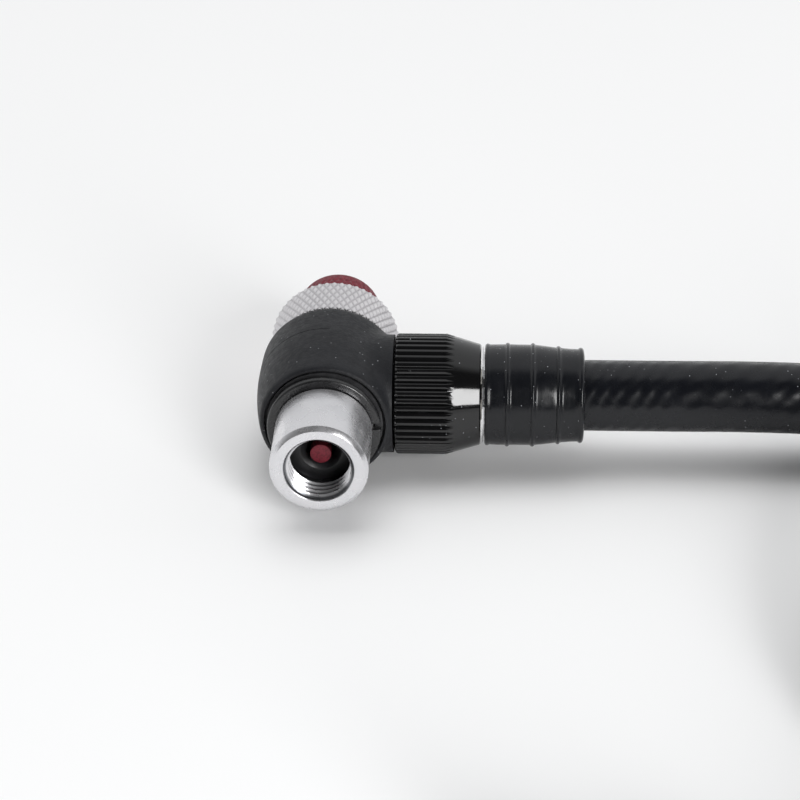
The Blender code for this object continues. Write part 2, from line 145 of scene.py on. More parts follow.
# ---- Air hose ----------------------------------------------------------------------------------
# A braided hose under smooth black rubber. It runs level out of the head's boot, sinks to the
# surface, makes one and a half turns that lie on each other, and comes back to the pump's end.
HOSE_RADIUS = 4.2
HOSE_LENGTH = 0.525
BRAID_PITCH = 2.88
BRAID_STRANDS = 9.0
LEAD_POINTS = (
    (28.6, 0.0, 0.0),
    (34.0, 0.0, 0.0),
    (40.0, 0.0, 0.0),
    (51.0, 0.0, 0.0),
    (58.5, 0.0, -0.3),
    (65.5, 0.0, -1.1),
    (72.5, 0.0, -2.1),
    (80.0, 0.0, -2.95),
    (88.0, 0.0, -3.35),
)
COIL_CENTRE = (100.0, -42.5)
COIL_RADIUS = 42.5
COIL_LOW = -3.42
COIL_HIGH = 4.98
COIL_STEP = 15
CLIMB_FROM = 268
CLIMB_TO = 345
TAIL_POINTS = (
    (90.0, -85.0, 4.98),
    (84.5, -85.0, 4.75),
    (80.0, -85.0, 4.15),
    (75.5, -85.0, 3.1),
    (72.7, -85.0, 2.2),
    (68.0, -85.0, 1.0),
    (62.0, -85.0, -0.3),
    (56.0, -85.0, -1.1),
    (50.5, -85.0, -1.32),
    (48.85, -85.0, -1.32),
)
PUMP_SHIFT = (20.05, -85.0, -1.32)
RELIEF_END = 30.0


def coil_points():
    """Centre line of one and a half turns, the second half turn on top of the first."""
    points = []
    for degrees in range(0, 541, COIL_STEP):
        turn = math.radians(degrees)
        climb = min(max((degrees - CLIMB_FROM) / (CLIMB_TO - CLIMB_FROM), 0), 1)
        climb = climb * climb * (3 - 2 * climb)
        x = COIL_CENTRE[0] + COIL_RADIUS * math.sin(turn)
        y = COIL_CENTRE[1] + COIL_RADIUS * math.cos(turn)
        points.append((x, y, COIL_LOW + (COIL_HIGH - COIL_LOW) * climb))
    return points


hose_route = [middle + MM * Vector(p) for p in (*LEAD_POINTS, *coil_points(), *TAIL_POINTS)]
hose_line = bpy.data.curves.new("air_hose", "CURVE")
hose_line.dimensions = "3D"
hose_line.bevel_depth = HOSE_RADIUS * MM
hose_line.bevel_resolution = 6
hose_line.resolution_u = 6
hose_line.use_fill_caps = True
hose_spline = hose_line.splines.new("BEZIER")
hose_spline.bezier_points.add(len(hose_route) - 1)
for spot, point in zip(hose_spline.bezier_points, hose_route):
    spot.co = point
    spot.handle_left_type = spot.handle_right_type = "AUTO"
hose = bpy.data.objects.new("air_hose", hose_line)
bpy.context.scene.collection.objects.link(hose)
bpy.context.view_layer.update()
hose_path = []
for one, two in zip(hose_spline.bezier_points, hose_spline.bezier_points[1:]):
    hose_path += interpolate_bezier(one.co, one.handle_right, two.handle_left, two.co, 7)[:-1]
hose_path.append(hose_spline.bezier_points[-1].co.copy())
bpy.ops.object.select_all(action="DESELECT")
hose.select_set(True)
bpy.context.view_layer.objects.active = hose
bpy.ops.object.convert(target="MESH")
hose = bpy.context.active_object
bpy.ops.object.shade_smooth_by_angle(angle=math.radians(50))


class Finish:
    """A Principled material and the few nodes that its colour, roughness and bump are made of."""

    def __init__(self, name, colour, roughness, metallic=0.0, specular=0.5):
        self.material = bpy.data.materials.new(name)
        self.material.use_nodes = True
        self.nodes = self.material.node_tree.nodes
        self.links = self.material.node_tree.links
        self.shader = self.nodes["Principled BSDF"]
        self.colour = (*colour, 1)
        self.shader.inputs["Base Color"].default_value = self.colour
        self.shader.inputs["Roughness"].default_value = roughness
        self.shader.inputs["Metallic"].default_value = metallic
        self.shader.inputs["Specular IOR Level"].default_value = specular
        self.place = self.nodes.new("ShaderNodeTexCoord").outputs["Object"]
        self.relief = None

    def feed(self, socket, value):
        """Links an output to the socket, or sets the socket to a number."""
        if hasattr(value, "is_output"):
            self.links.new(value, socket)
        else:
            socket.default_value = value

    def mapped(self, scale=(1, 1, 1), shift=(0, 0, 0)):
        """The object's coordinates stretched by a scale and then moved."""
        node = self.nodes.new("ShaderNodeMapping")
        self.links.new(self.place, node.inputs["Vector"])
        node.inputs["Scale"].default_value = scale
        node.inputs["Location"].default_value = shift
        return node.outputs["Vector"]

    def noise(self, scale, detail=2.0, rough=0.5, place=None):
        """Cloudy noise with a number of waves to the metre."""
        node = self.nodes.new("ShaderNodeTexNoise")
        self.links.new(place or self.place, node.inputs["Vector"])
        node.inputs["Scale"].default_value = scale
        node.inputs["Detail"].default_value = detail
        node.inputs["Roughness"].default_value = rough
        return node.outputs["Fac"]

    def cells(self, scale):
        """Distance from the nearest of many scattered points, in cells."""
        node = self.nodes.new("ShaderNodeTexVoronoi")
        self.links.new(self.place, node.inputs["Vector"])
        node.inputs["Scale"].default_value = scale
        return node.outputs["Distance"]

    def worked(self, operation, one, two=0.0, three=0.0):
        """The result of a sum of up to three values or sockets."""
        node = self.nodes.new("ShaderNodeMath")
        node.operation = operation
        for socket, value in zip(node.inputs, (one, two, three)):
            self.feed(socket, value)
        return node.outputs["Value"]

    def spread(self, value, low, high, to_low=0.0, to_high=1.0):
        """Maps a value smoothly from one range to another, held at both ends."""
        node = self.nodes.new("ShaderNodeMapRange")
        node.interpolation_type = "SMOOTHSTEP"
        for socket, number in zip(node.inputs, (value, low, high, to_low, to_high)):
            self.feed(socket, number)
        return node.outputs["Result"]

    def parts(self, place=None):
        """The X, Y and Z of a place."""
        node = self.nodes.new("ShaderNodeSeparateXYZ")
        self.links.new(place or self.place, node.inputs["Vector"])
        return node.outputs

    def tint(self, amount, colour):
        """Mixes another colour over the base by an amount that varies over the surface."""
        node = self.nodes.new("ShaderNodeMix")
        node.data_type = "RGBA"
        self.feed(node.inputs["Factor"], amount)
        base = self.shader.inputs["Base Color"]
        if base.links:
            self.links.new(base.links[0].from_socket, node.inputs["A"])
        else:
            node.inputs["A"].default_value = base.default_value
        node.inputs["B"].default_value = (*colour, 1)
        self.links.new(node.outputs["Result"], base)

    def from_axis(self, coordinates):
        """Distance of a place from the chuck's axis."""
        squares = [self.worked("MULTIPLY", coordinates[k], coordinates[k]) for k in (0, 2)]
        return self.worked("SQRT", self.worked("ADD", *squares))

    def rough(self, value):
        self.links.new(value, self.shader.inputs["Roughness"])

    def bump(self, height, depth, strength=1.0):
        """Adds relief of a depth in millimetres on top of the relief before it."""
        node = self.nodes.new("ShaderNodeBump")
        node.inputs["Strength"].default_value = strength
        node.inputs["Distance"].default_value = depth * MM
        self.links.new(height, node.inputs["Height"])
        if self.relief is not None:
            self.links.new(self.relief, node.inputs["Normal"])
        self.relief = node.outputs["Normal"]
        self.links.new(self.relief, self.shader.inputs["Normal"])

    def dust(self, amount, colour=(0.30, 0.31, 0.33), scale=1500.0):
        """A few pale specks of dust, each in a cell of its own."""
        specks = self.spread(self.cells(scale), 0.06, 0.12, 1.0, 0.0)
        patches = self.spread(self.noise(260.0, 1.0), amount, amount + 0.05)
        self.tint(self.worked("MULTIPLY", specks, patches), colour)

    def paint(self, *pieces):
        for piece in pieces:
            piece.data.materials.clear()
            piece.data.materials.append(self.material)


hose_rubber = Finish("hose_rubber", (0.0052, 0.0058, 0.0080), 0.24, specular=0.4)
along_hose = hose_rubber.nodes.new("ShaderNodeUVMap").outputs["UV"]
hose_u, hose_v = hose_rubber.parts(along_hose)[:2]
for slant, depth in (("ADD", 0.018), ("SUBTRACT", 0.004)):
    strands = hose_rubber.worked(
        slant,
        hose_rubber.worked("MULTIPLY", hose_u, HOSE_LENGTH / (BRAID_PITCH * MM)),
        hose_rubber.worked("MULTIPLY", hose_v, BRAID_STRANDS),
    )
    waves = hose_rubber.worked("SINE", hose_rubber.worked("MULTIPLY", strands, math.tau))
    hose_rubber.bump(waves, depth)
hose_rubber.bump(hose_rubber.noise(9000.0, 3.0), 0.003)
hose_rubber.tint(
    hose_rubber.spread(hose_rubber.noise(160.0, 4.0), 0.45, 0.8, 0.0, 0.6), (0.010, 0.011, 0.015)
)
hose_rubber.rough(hose_rubber.spread(hose_rubber.noise(700.0, 4.0), 0.3, 0.7, 0.21, 0.30))
hose_rubber.dust(0.55)
hose_rubber.paint(hose)

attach(hose, "hose")
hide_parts("air_hose_lead", "hose_coil", "air_hose_tail")

# ---- Head body ---------------------------------------------------------------------------------
# The barrel and its side boss are one moulding in satin black, with a soft blend where they meet.
# A recess in the front rim takes the thrust washer, and the threaded stub carries the union nut.
BARREL_FRONT = -7.34
BARREL_REAR = 5.6
BARREL_CROWN = 8.42
BARREL_CROWN_AT = 0.8
BARREL_FALL = 0.01388
BARREL_REAR_FALL = 0.0050
BARREL_BORE = 5.8
BARREL_RIM = 0.32
BARREL_REAR_RIM = 0.14
LIP_RADIUS = 6.95
LIP_DEPTH = 0.75
BOSS_RADIUS = 6.95
BOSS_END = 7.75
STUB_RADIUS = 4.8
STUB_END = 13.6
STUB_BORE = 2.6
BLEND_REACH = 1.0
SKIN_CELL = 0.15


def turned(name, points, steps, along, seat=(0, 0, 0), sweep=math.tau, start=0.0):
    """A vertex drawn out through a section's (along, radius) points, then spun about X or Y."""
    seat = middle + MM * Vector(seat)
    axis = Vector((1, 0, 0) if along == "X" else (0, 1, 0))
    turn = Matrix.Rotation(start, 3, axis)
    spots = [seat + MM * (x * axis + turn @ Vector((0, 0, r))) for x, r in points]
    bpy.ops.object.select_all(action="DESELECT")
    bpy.ops.mesh.primitive_plane_add(size=MM)
    piece = bpy.context.active_object
    piece.name = piece.data.name = name
    bpy.ops.object.mode_set(mode="EDIT")
    bpy.ops.mesh.merge(type="CENTER")
    bpy.ops.transform.translate(value=spots[0])
    for one, two in zip(spots, spots[1:]):
        bpy.ops.mesh.extrude_region_move(TRANSFORM_OT_translate={"value": two - one})
    bpy.ops.mesh.select_all(action="SELECT")
    if sweep < math.tau:
        bpy.ops.mesh.remove_doubles(threshold=0.001 * MM)
        bpy.ops.mesh.edge_face_add()
    bpy.ops.mesh.spin(steps=steps, angle=sweep, center=seat, axis=axis)
    bpy.ops.mesh.select_all(action="SELECT")
    bpy.ops.mesh.remove_doubles(threshold=0.001 * MM)
    bpy.ops.mesh.normals_make_consistent(inside=False)
    bpy.ops.object.mode_set(mode="OBJECT")
    return piece


def apply_all(piece):
    """Applies the piece's modifiers in their order, with the piece selected alone."""
    bpy.ops.object.select_all(action="DESELECT")
    piece.select_set(True)
    bpy.context.view_layer.objects.active = piece
    for step in list(piece.modifiers):
        bpy.ops.object.modifier_apply(modifier=step.name)
    return piece


def combined(piece, other, operation):
    """Joins, cuts or intersects the piece with another closed solid, which is then removed."""
    step = piece.modifiers.new("combine", "BOOLEAN")
    step.operation = operation
    step.solver = "EXACT"
    step.object = other
    apply_all(piece)
    bpy.data.objects.remove(other, do_unlink=True)
    return piece


def shaded(piece, angle):
    """Shades the piece smooth up to an angle, with the normals led by its larger faces."""
    bpy.ops.object.select_all(action="DESELECT")
    piece.select_set(True)
    bpy.context.view_layer.objects.active = piece
    bpy.ops.object.shade_smooth_by_angle(angle=math.radians(angle))
    step = piece.modifiers.new("normals", "WEIGHTED_NORMAL")
    step.keep_sharp = True
    step.weight = 80
    return apply_all(piece)


def eased(piece, width, segments=2, angle=35):
    """Breaks the piece's sharp edges by a width in millimetres."""
    step = piece.modifiers.new("edges", "BEVEL")
    step.width = width * MM
    step.segments = segments
    step.limit_method = "ANGLE"
    step.angle_limit = math.radians(angle)
    return apply_all(piece)


def joined(piece, other):
    """Makes another closed shell a part of the piece's mesh."""
    bpy.ops.object.select_all(action="DESELECT")
    other.select_set(True)
    piece.select_set(True)
    bpy.context.view_layer.objects.active = piece
    bpy.ops.object.join()
    return piece


def picked(piece, chosen):
    """Enters edit mode on the piece with the chosen vertices selected and nothing else."""
    bpy.ops.object.select_all(action="DESELECT")
    piece.select_set(True)
    bpy.context.view_layer.objects.active = piece
    bpy.ops.object.mode_set(mode="EDIT")
    bpy.ops.mesh.select_mode(type="VERT")
    bpy.ops.mesh.select_all(action="DESELECT")
    bpy.ops.object.mode_set(mode="OBJECT")
    for index in chosen:
        piece.data.vertices[index].select = True
    bpy.ops.object.mode_set(mode="EDIT")


def barrel_radius(y):
    """Radius of the barrel's swelling side, which falls faster to the front than to the rear."""
    fall = BARREL_FALL if y < BARREL_CROWN_AT else BARREL_REAR_FALL
    return BARREL_CROWN - fall * (y - BARREL_CROWN_AT) ** 2


def quarter(low, high, inner, outer, steps=4):
    """Points of a rounded corner that runs from (low, inner) to (high, outer)."""
    turns = [math.pi / 2 * k / steps for k in range(steps + 1)]
    return [
        (high - (high - low) * math.cos(t), inner + (outer - inner) * math.sin(t)) for t in turns
    ]


front_edge = BARREL_FRONT + BARREL_RIM
front_radius = barrel_radius(front_edge)
rear_edge = BARREL_REAR - BARREL_REAR_RIM
rear_radius = barrel_radius(rear_edge)
barrel_length = rear_edge - front_edge
barrel_outline = [(BARREL_FRONT, 0)]
barrel_outline += quarter(BARREL_FRONT, front_edge, front_radius - BARREL_RIM, front_radius)
barrel_outline += [
    (front_edge + barrel_length * k / 24, barrel_radius(front_edge + barrel_length * k / 24))
    for k in range(1, 24)
]
barrel_outline += quarter(BARREL_REAR, rear_edge, rear_radius - BARREL_REAR_RIM, rear_radius)[::-1]
barrel_outline += [(BARREL_REAR + 1, rear_radius - 1), (BARREL_REAR + 1, 0)]
body = turned("head_moulding", barrel_outline, 160, "Y")
boss_outline = [(1, 0), (1, BOSS_RADIUS), (STUB_END, BOSS_RADIUS), (STUB_END, 0)]
combined(body, turned("boss", boss_outline, 128, "X"), "UNION")
skin = body.modifiers.new("skin", "REMESH")
skin.mode = "VOXEL"
skin.voxel_size = SKIN_CELL * MM
apply_all(body)


def near_blend(spot):
    """True for points of the skin beside the line where the boss leaves the barrel."""
    x, y, z = (spot - middle) / MM
    if x < 2 or x > BOSS_END - 0.2 or y > rear_edge or y < front_edge + 0.3:
        return False
    from_barrel = abs(math.hypot(x, z) - barrel_radius(y))
    from_boss = abs(math.hypot(y, z) - BOSS_RADIUS)
    return max(from_barrel, from_boss) < BLEND_REACH


picked(body, [vertex.index for vertex in body.data.vertices if near_blend(vertex.co)])
bpy.ops.mesh.vertices_smooth(factor=0.5, repeat=70)
bpy.ops.mesh.select_all(action="SELECT")
bpy.ops.mesh.vertices_smooth(factor=0.5, repeat=28)
bpy.ops.object.mode_set(mode="OBJECT")
bpy.ops.object.shade_smooth()

around_stub = [
    (BOSS_END, STUB_RADIUS),
    (BOSS_END, 20),
    (BOSS_END + 8, 20),
    (BOSS_END + 8, STUB_RADIUS),
    (BOSS_END, STUB_RADIUS),
]
combined(body, turned("facing_tool", around_stub, 96, "X"), "DIFFERENCE")
bore_outline = [
    (BARREL_FRONT - 1, 0),
    (BARREL_FRONT - 1, LIP_RADIUS + 0.2),
    (BARREL_FRONT, LIP_RADIUS + 0.15),
    (BARREL_FRONT + 0.15, LIP_RADIUS),
    (BARREL_FRONT + LIP_DEPTH, LIP_RADIUS),
    (BARREL_FRONT + LIP_DEPTH, BARREL_BORE),
    (BARREL_REAR - LIP_DEPTH, BARREL_BORE),
    (BARREL_REAR - LIP_DEPTH, LIP_RADIUS),
    (BARREL_REAR, LIP_RADIUS),
    (BARREL_REAR, 20),
    (BARREL_REAR + 3, 20),
    (BARREL_REAR + 3, 0),
]
combined(body, turned("bore_tool", bore_outline, 128, "Y"), "DIFFERENCE")


def thread_ridge(name, along, start, turns, pitch, root, crest, steps=48):
    """Helical ridge of a thread, from root radius to crest radius, about X or Y."""
    axis = Vector((1, 0, 0) if along == "X" else (0, 1, 0))
    section = [
        (-0.42 * pitch, root),
        (-0.06 * pitch, crest),
        (0.06 * pitch, crest),
        (0.42 * pitch, root),
    ]
    spots = [MM * ((start + x) * axis + Vector((0, 0, r))) for x, r in section]
    bpy.ops.object.select_all(action="DESELECT")
    bpy.ops.mesh.primitive_plane_add(size=MM)
    ridge = bpy.context.active_object
    ridge.name = ridge.data.name = name
    bpy.ops.object.mode_set(mode="EDIT")
    bpy.ops.mesh.merge(type="CENTER")
    bpy.ops.transform.translate(value=spots[0])
    for one, two in zip(spots, spots[1:] + spots[:1]):
        bpy.ops.mesh.extrude_region_move(TRANSFORM_OT_translate={"value": two - one})
    bpy.ops.mesh.select_all(action="SELECT")
    bpy.ops.mesh.remove_doubles(threshold=0.001 * MM)
    bpy.ops.object.mode_set(mode="OBJECT")
    helix = ridge.modifiers.new("helix", "SCREW")
    helix.axis = along
    helix.angle = math.tau * turns
    helix.screw_offset = pitch * turns * MM
    helix.steps = helix.render_steps = int(steps * turns)
    helix.use_smooth_shade = False
    apply_all(ridge)
    ridge.location = middle
    bpy.ops.object.transform_apply()
    bpy.ops.object.mode_set(mode="EDIT")
    bpy.ops.mesh.select_all(action="SELECT")
    bpy.ops.mesh.fill_holes(sides=4)
    bpy.ops.mesh.select_all(action="SELECT")
    bpy.ops.mesh.normals_make_consistent(inside=False)
    bpy.ops.object.mode_set(mode="OBJECT")
    return ridge


stub_thread = thread_ridge("stub_thread", "X", 8.4, 4.6, 1.0, STUB_RADIUS - 0.5, STUB_RADIUS)
stub_groove = [(8.0, 4.45), (8.0, 6), (13.0, 6), (13.0, 4.45), (8.0, 4.45)]
combined(body, turned("stub_groove", stub_groove, 96, "X"), "DIFFERENCE")
air_way = turned("air_way_tool", [(3, 0), (3, STUB_BORE), (15, STUB_BORE), (15, 0)], 48, "X")
combined(body, air_way, "DIFFERENCE")
seam_outline = [(0.28, 8.5), (0.40, 8.32), (0.52, 8.5), (0.28, 8.5)]
seam_tool = turned(
    "seam_tool", seam_outline, 60, "Y", sweep=math.radians(130), start=math.radians(2)
)
combined(body, seam_tool, "DIFFERENCE")
joined(body, stub_thread)
shaded(body, 40)

moulding = Finish("moulded_black", (0.0095, 0.0100, 0.0120), 0.5, specular=0.31)
moulding.tint(moulding.spread(moulding.noise(320.0, 5.0), 0.35, 0.75), (0.0145, 0.0152, 0.0178))
moulding.bump(moulding.noise(5200.0, 3.0, 0.65), 0.030)
moulding.bump(moulding.cells(2600.0), 0.016)
moulding.rough(moulding.spread(moulding.noise(1500.0, 3.0), 0.3, 0.7, 0.46, 0.58))
moulding.dust(0.50)
moulding.paint(body)

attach(body, "head")
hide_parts("head_body")

# ---- Thrust washers ----------------------------------------------------------------------------
# Two thin nylon rings lie loose in the lips at the ends of the barrel, and the sleeve turns on
# them. Only the edge of the front one shows behind its clip.
nylon = Finish("washer_nylon", (0.035, 0.035, 0.037), 0.45)
nylon.tint(nylon.spread(nylon.noise(900.0, 3.0), 0.4, 0.7), (0.050, 0.050, 0.053))
nylon.bump(nylon.noise(6000.0, 2.0), 0.010)
nylon.rough(nylon.spread(nylon.noise(2500.0, 3.0), 0.3, 0.7, 0.40, 0.52))
nylon.paint(
    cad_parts["front_thrust_washer"],
    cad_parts["rear_thrust_washer"],
    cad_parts["seal_backing_washer"],
)

# ---- Valve sleeve ------------------------------------------------------------------------------
# A tube turned from bar and left bright, with soft turning marks. Its front holds the valve's
# thread behind a countersink, and grooves round it carry the clip, two seals and the air.
SLEEVE_FACE = -17.4
SLEEVE_RADIUS = 5.6
SLEEVE_END = 9.5
SOCKET_MOUTH = 4.08
SOCKET_ROOT = 3.9
SOCKET_CREST = 3.48
SOCKET_PITCH = 0.794
SEAL_FRONT = -13.4
SEAL_BACK = -9.6
SEAL_RADIUS = 3.95
SLEEVE_BORE = 2.4
SCREW_BORE = 3.0
SCREW_BORE_FROM = 6.2
CLIP_FRONT = -8.8
CLIP_BACK = -7.6
CLIP_FLOOR = 5.0
SEAL_GROOVES = ((-3.9, 0.7), (0.0, 1.5), (3.9, 0.7))
PORT_RADIUS = 0.8

sleeve_outline = [
    (SLEEVE_FACE, SOCKET_MOUTH),
    (SLEEVE_FACE, SLEEVE_RADIUS - 0.5),
    (SLEEVE_FACE + 0.5, SLEEVE_RADIUS),
    (CLIP_FRONT, SLEEVE_RADIUS),
    (CLIP_FRONT, CLIP_FLOOR),
    (CLIP_BACK, CLIP_FLOOR),
    (CLIP_BACK, SLEEVE_RADIUS),
]
for centre, half in SEAL_GROOVES:
    sleeve_outline += [
        (centre - half, SLEEVE_RADIUS),
        (centre - half, SLEEVE_RADIUS - 1.0),
        (centre + half, SLEEVE_RADIUS - 1.0),
        (centre + half, SLEEVE_RADIUS),
    ]
sleeve_outline += [
    (SLEEVE_END, SLEEVE_RADIUS),
    (SLEEVE_END, SCREW_BORE),
    (SCREW_BORE_FROM, SCREW_BORE),
    (SCREW_BORE_FROM, SLEEVE_BORE),
    (SEAL_BACK, SLEEVE_BORE),
    (SEAL_BACK, SEAL_RADIUS),
    (SEAL_FRONT, SEAL_RADIUS),
    (SEAL_FRONT, SOCKET_ROOT),
    (SLEEVE_FACE + SOCKET_MOUTH - SOCKET_ROOT, SOCKET_ROOT),
    (SLEEVE_FACE, SOCKET_MOUTH),
]
sleeve = eased(turned("turned_sleeve", sleeve_outline, 144, "Y"), 0.05, 2, 30)
for port_turn in (0, math.pi / 2):
    port = turned("port_tool", [(-8, 0), (-8, PORT_RADIUS), (8, PORT_RADIUS), (8, 0)], 24, "X")
    bpy.ops.object.mode_set(mode="EDIT")
    bpy.ops.mesh.select_all(action="SELECT")
    bpy.ops.transform.rotate(value=port_turn, orient_axis="Y", center_override=middle)
    bpy.ops.object.mode_set(mode="OBJECT")
    combined(sleeve, port, "DIFFERENCE")
socket_thread = thread_ridge(
    "socket_thread", "Y", SLEEVE_FACE + 0.2, 4.3, SOCKET_PITCH, SOCKET_ROOT + 0.06, SOCKET_CREST, 60
)
countersink = [
    (SLEEVE_FACE - 1, 0),
    (SLEEVE_FACE - 1, SOCKET_MOUTH + 1),
    (SLEEVE_FACE + SOCKET_MOUTH, 0),
]
combined(socket_thread, turned("countersink", countersink, 96, "Y"), "DIFFERENCE")
joined(sleeve, socket_thread)
shaded(sleeve, 30)

silver = Finish("turned_silver", (0.76, 0.755, 0.775), 0.28, metallic=0.82)
turning = silver.noise(1.0, 3.0, place=silver.mapped((60, 16000, 60)))
silver.bump(turning, 0.002)
silver.rough(silver.spread(silver.noise(500.0, 4.0), 0.3, 0.7, 0.20, 0.32))
silver.tint(silver.spread(silver.noise(240.0, 4.0), 0.4, 0.8, 0.0, 0.5), (0.66, 0.665, 0.69))
# Painted shade: the sleeve's surfaces between about 3.6 and 4.0 mm from the chuck's axis, the socket
# thread's roots and lower flanks and the seal's bore, are darkened.
silver_parts = silver.parts(silver.mapped(shift=-middle))
silver_out = silver.from_axis(silver_parts)
thread_shade = silver.worked(
    "MULTIPLY",
    silver.spread(silver_out, 3.62 * MM, 3.80 * MM),
    silver.spread(silver_out, 3.98 * MM, 4.02 * MM, 1.0, 0.0),
)
silver.tint(silver.worked("MULTIPLY", thread_shade, 0.85), (0.06, 0.065, 0.075))
silver.paint(sleeve)
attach(sleeve, "sleeve")
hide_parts("valve_sleeve")

# ---- Front clip --------------------------------------------------------------------------------
# A spring clip of round-edged black steel wire, snapped into the sleeve's groove from the side.
# It holds the sleeve in the barrel, and its gap faces the hose.
CLIP_OUTSIDE = 6.6
CLIP_GAP = math.radians(8)
CLIP_GAP_AT = math.radians(85)
clip_outline = [
    (CLIP_BACK - 0.2, CLIP_FLOOR + 0.2),
    (CLIP_FRONT + 0.2, CLIP_FLOOR + 0.2),
    (CLIP_FRONT + 0.2, CLIP_OUTSIDE - 0.3),
    (CLIP_FRONT + 0.25, CLIP_OUTSIDE - 0.16),
    (CLIP_FRONT + 0.34, CLIP_OUTSIDE - 0.06),
    (CLIP_FRONT + 0.48, CLIP_OUTSIDE),
    (CLIP_BACK - 0.3, CLIP_OUTSIDE),
    (CLIP_BACK - 0.2, CLIP_OUTSIDE - 0.1),
    (CLIP_BACK - 0.2, CLIP_FLOOR + 0.2),
]
clip = turned(
    "spring_clip", clip_outline, 120, "Y", sweep=math.tau - CLIP_GAP, start=CLIP_GAP_AT - CLIP_GAP / 2
)
shaded(eased(clip, 0.04, 2, 50), 40)
black_steel = Finish("blued_steel", (0.016, 0.016, 0.017), 0.24, metallic=0.0, specular=0.6)
black_steel.bump(black_steel.noise(1800.0, 3.0), 0.006)
black_steel.rough(black_steel.spread(black_steel.noise(900.0, 4.0), 0.3, 0.75, 0.20, 0.36))
black_steel.tint(
    black_steel.spread(black_steel.noise(500.0, 3.0), 0.5, 0.8, 0.0, 0.6), (0.030, 0.029, 0.030)
)
black_steel.dust(0.62)
black_steel.paint(clip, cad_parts["pin_clip"])
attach(clip, "sleeve")
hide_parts("front_circlip")

# ---- Seals -------------------------------------------------------------------------------------
# The valve seal is a moulded rubber ring with a dished mouth, held on a washer in the socket. Four
# O-rings of the same rubber seal the sleeve, the pin and the two inserts.
seal_outline = [
    (SEAL_FRONT + 0.15, 2.35),
    (SEAL_FRONT + 0.15, SEAL_RADIUS - 0.15),
    (SEAL_BACK - 0.9, SEAL_RADIUS - 0.15),
    (SEAL_BACK - 0.9, 1.6),
    (SEAL_FRONT + 1.1, 1.6),
    (SEAL_FRONT + 0.6, 1.85),
    (SEAL_FRONT + 0.15, 2.35),
]
seal = shaded(eased(turned("moulded_seal", seal_outline, 96, "Y"), 0.08, 3, 25), 40)
rubber = Finish("seal_rubber", (0.010, 0.010, 0.011), 0.42)
rubber.bump(rubber.noise(7000.0, 3.0), 0.010)
rubber.rough(rubber.spread(rubber.noise(1200.0, 4.0), 0.3, 0.7, 0.36, 0.50))
rubber.tint(rubber.spread(rubber.noise(420.0, 4.0), 0.4, 0.8, 0.0, 0.7), (0.017, 0.017, 0.019))
rubber.dust(0.64)
rubber.paint(
    seal,
    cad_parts["front_oring"],
    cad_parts["rear_oring"],
    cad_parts["pin_oring"],
    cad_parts["hose_insert_oring"],
    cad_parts["pump_insert_oring"],
)
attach(seal, "sleeve")
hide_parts("valve_seal")

# ---- Grip ring ---------------------------------------------------------------------------------
# A turned ring with a rolled diamond knurl, pressed on the rear of the sleeve and left matt. The
# knurl runs out through both faces, so its edges are scalloped.
GRIP_NECK = 5.45
GRIP_FRONT = 6.55
GRIP_REAR = 13.35
GRIP_RADIUS = 7.8
GRIP_NECK_RADIUS = 7.0
GRIP_TEETH = 52
GRIP_ROW = 0.2325
GRIP_DEPTH = 0.26
KNOB_RADIUS = 5.1
KNURL_CELL = 8
KNURL_FALL = {0: 1.0, 1: 0.7, 2: 0.3, 3: 0.08}


def drawn_in(piece, factor_at, along):
    """Draws each vertex towards the axis by the factor that its place asks for."""
    groups = {}
    for vertex in piece.data.vertices:
        factor = round(factor_at((vertex.co - middle) / MM), 4)
        if factor < 1:
            groups.setdefault(factor, []).append(vertex.index)
    for factor, chosen in groups.items():
        picked(piece, chosen)
        scale = (1, factor, factor) if along == "X" else (factor, 1, factor)
        bpy.ops.transform.resize(value=scale, center_override=middle)
        bpy.ops.object.mode_set(mode="OBJECT")


def diamond(spot, teeth, start, row, radius, depth):
    """How far in a point of a diamond knurl about Y lies, as a share of its distance out."""
    out = math.hypot(spot.x, spot.z)
    if out < radius - 0.45:
        return 1
    column = round(math.atan2(spot.x, spot.z) / math.tau * teeth * KNURL_CELL)
    line = round((spot.y - start) / row)
    falls = []
    for way in (column + line, column - line):
        near = way % KNURL_CELL
        falls.append(KNURL_FALL.get(min(near, KNURL_CELL - near), 0))
    target = radius - depth * max(falls)
    return min(1, target / out)


grip_rows = int((GRIP_REAR - GRIP_FRONT - 0.5) / GRIP_ROW)
grip_outline = [
    (GRIP_NECK, SLEEVE_RADIUS + 0.1),
    (GRIP_NECK, GRIP_NECK_RADIUS),
    (GRIP_FRONT, GRIP_NECK_RADIUS),
]
grip_outline += [(GRIP_FRONT + GRIP_ROW * k, GRIP_RADIUS) for k in range(grip_rows + 1)]
grip_outline += [
    (GRIP_REAR - 0.12, GRIP_RADIUS - 0.04),
    (GRIP_REAR, GRIP_RADIUS - 0.2),
    (GRIP_REAR, KNOB_RADIUS + 0.45),
    (GRIP_REAR - 0.15, KNOB_RADIUS + 0.3),
    (SLEEVE_END + 0.2, KNOB_RADIUS + 0.3),
    (SLEEVE_END + 0.2, SLEEVE_RADIUS + 0.1),
    (GRIP_NECK, SLEEVE_RADIUS + 0.1),
]
grip = turned("knurled_ring", grip_outline, GRIP_TEETH * KNURL_CELL, "Y")
drawn_in(
    grip,
    lambda spot: diamond(spot, GRIP_TEETH, GRIP_FRONT, GRIP_ROW, GRIP_RADIUS, GRIP_DEPTH),
    "Y",
)
shaded(grip, 35)

